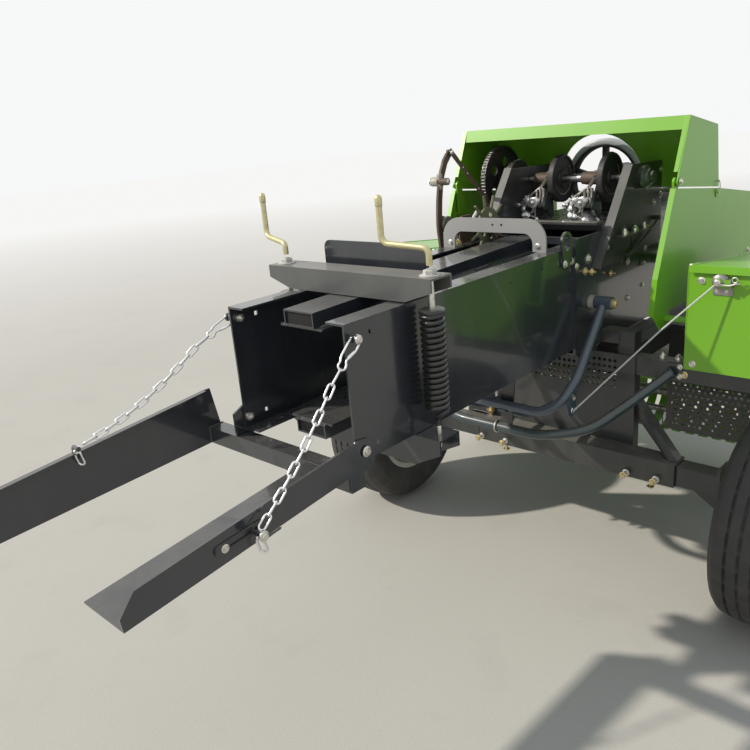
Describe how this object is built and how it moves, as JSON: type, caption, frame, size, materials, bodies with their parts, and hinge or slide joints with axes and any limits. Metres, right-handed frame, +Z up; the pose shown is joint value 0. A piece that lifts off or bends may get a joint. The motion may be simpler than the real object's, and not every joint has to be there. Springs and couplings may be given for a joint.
{
  "type": "square baler",
  "caption": "Small in-line square baler with open bale chamber, spring tension rails, fold-down chute on chains, twin knotters under a hood, pickup and jack.",
  "frame": {"origin": "middle of the bounding box on the ground", "axes": "+Y is the direction of travel, +X the machine's right-hand side, +Z up"},
  "size_m": [2.065, 4.295, 1.752],
  "materials": {
    "chamber_paint": "semi-gloss slate grey paint",
    "beam_paint": "mid grey paint",
    "frame_paint": "semi-gloss dark grey paint",
    "hood_green": "gloss green paint",
    "spring_black": "black enamel on spring wire",
    "zinc_yellow": "yellow zinc plate",
    "arch_grey": "light grey paint",
    "olive_iron": "olive primer on cast iron",
    "brown_iron": "bare brown cast iron",
    "dark_iron": "dark cast iron",
    "yoke_paint": "blue grey paint",
    "guard_paint": "dark blue grey paint",
    "chain_zinc": "bright zinc plate",
    "tyre_rubber": "black tyre rubber",
    "rim_cream": "light cream paint",
    "twine_white": "white twine",
    "guard_plastic": "yellow plastic guard",
    "reel_steel": "plain steel"
  },
  "bodies": {
    "machine": {"bale_chamber": "chamber_paint", "upper_rail": "chamber_paint", "lower_rail": "chamber_paint", "upper_beam": "beam_paint", "lower_beam": "chamber_paint", "tension_springs": "spring_black", "crank_handles": "zinc_yellow", "rail_stop": "chamber_paint", "arch_plate": "arch_grey", "trip_arm": "brown_iron", "plunger_case": "chamber_paint", "plunger": "dark_iron", "knotter_frame": "frame_paint", "knotters": "brown_iron", "knotter_drive": "dark_iron", "needle_yoke": "yoke_paint", "yoke_guard": "guard_paint", "hood_sides": "hood_green", "twine_box_right": "hood_green", "twine_box_left": "hood_green", "twine": "twine_white", "main_frame": "frame_paint", "axle_stubs": "frame_paint", "gearbox": "dark_iron", "drive_shaft": "guard_plastic", "drawbar": "frame_paint", "jack_sleeve": "frame_paint", "feeder_case": "frame_paint"},
    "star_wheel": {"star_wheel": "olive_iron"},
    "hood_lid": {"hood_lid": "hood_green"},
    "twine_lid_right": {"twine_lid_right": "hood_green"},
    "twine_lid_left": {"twine_lid_left": "hood_green"},
    "wheel_left": {"tyre_left": "tyre_rubber", "rim_left": "rim_cream"},
    "wheel_right": {"tyre_right": "tyre_rubber", "rim_right": "rim_cream"},
    "chute": {"chute": "chamber_paint"},
    "chain_right": {"chain_right": "chain_zinc"},
    "chain_left": {"chain_left": "chain_zinc"},
    "flywheel": {"flywheel": "dark_iron"},
    "jack_leg": {"jack_leg": "chain_zinc"},
    "pickup": {"pickup_frame": "hood_green"},
    "pickup_reel": {"pickup_reel": "reel_steel"},
    "gauge_wheel_left": {"gauge_wheel_left": "tyre_rubber"},
    "gauge_wheel_right": {"gauge_wheel_right": "tyre_rubber"}
  },
  "joints": [
    {"name": "star_wheel_turn", "type": "hinge", "parent": "machine", "child": "star_wheel", "pos_m": [-0.178, -0.2325, 1.404], "axis": [1, 0, 0], "continuous": true},
    {"name": "hood_lid_hinge", "type": "hinge", "parent": "machine", "child": "hood_lid", "pos_m": [-0.048, 0.0955, 1.526], "axis": [1, 0, 0], "range_deg": [0, 70]},
    {"name": "twine_lid_right_hinge", "type": "hinge", "parent": "machine", "child": "twine_lid_right", "pos_m": [0.53, -0.0825, 1.255], "axis": [0, 0.9943, -0.1065], "range_deg": [-85, 0]},
    {"name": "twine_lid_left_hinge", "type": "hinge", "parent": "machine", "child": "twine_lid_left", "pos_m": [-0.626, -0.0825, 1.255], "axis": [0, 0.9943, -0.1065], "range_deg": [0, 85]},
    {"name": "wheel_left_turn", "type": "hinge", "parent": "machine", "child": "wheel_left", "pos_m": [-0.897, -0.0685, 0.374], "axis": [1, 0, 0], "continuous": true},
    {"name": "wheel_right_turn", "type": "hinge", "parent": "machine", "child": "wheel_right", "pos_m": [0.897, -0.0685, 0.374], "axis": [1, 0, 0], "continuous": true},
    {"name": "chute_fold", "type": "hinge", "parent": "machine", "child": "chute", "pos_m": [-0.048, -1.3845, 0.985], "axis": [-1, 0, 0], "range_deg": [0, 80]},
    {"name": "chain_right_swing", "type": "hinge", "parent": "machine", "child": "chain_right", "pos_m": [0.2135, -1.3945, 1.3], "axis": [1, 0, 0], "range_deg": [0, 32]},
    {"name": "chain_left_swing", "type": "hinge", "parent": "machine", "child": "chain_left", "pos_m": [-0.3095, -1.3945, 1.3], "axis": [1, 0, 0], "range_deg": [0, 32]},
    {"name": "flywheel_turn", "type": "hinge", "parent": "machine", "child": "flywheel", "pos_m": [-0.068, 0.5295, 1.493], "axis": [0, 1, 0], "continuous": true},
    {"name": "jack_slide", "type": "slide", "parent": "machine", "child": "jack_leg", "axis": [0, 0, 1], "range_m": [0, 0.3]},
    {"name": "pickup_lift", "type": "hinge", "parent": "machine", "child": "pickup", "pos_m": [-0.048, 0.6675, 0.66], "axis": [1, 0, 0], "range_deg": [-2, 8]},
    {"name": "pickup_reel_turn", "type": "hinge", "parent": "pickup", "child": "pickup_reel", "pos_m": [-0.048, 0.9175, 0.4], "axis": [1, 0, 0], "continuous": true},
    {"name": "gauge_wheel_left_turn", "type": "hinge", "parent": "pickup", "child": "gauge_wheel_left", "pos_m": [-0.878, 0.7375, 0.21], "axis": [1, 0, 0], "continuous": true},
    {"name": "gauge_wheel_right_turn", "type": "hinge", "parent": "pickup", "child": "gauge_wheel_right", "pos_m": [0.782, 0.7375, 0.21], "axis": [1, 0, 0], "continuous": true}
  ],
  "couplings": [
    {"joint": "chain_right_swing", "follows": "chute_fold", "ratio": 0.4},
    {"joint": "chain_left_swing", "follows": "chute_fold", "ratio": 0.4}
  ]
}
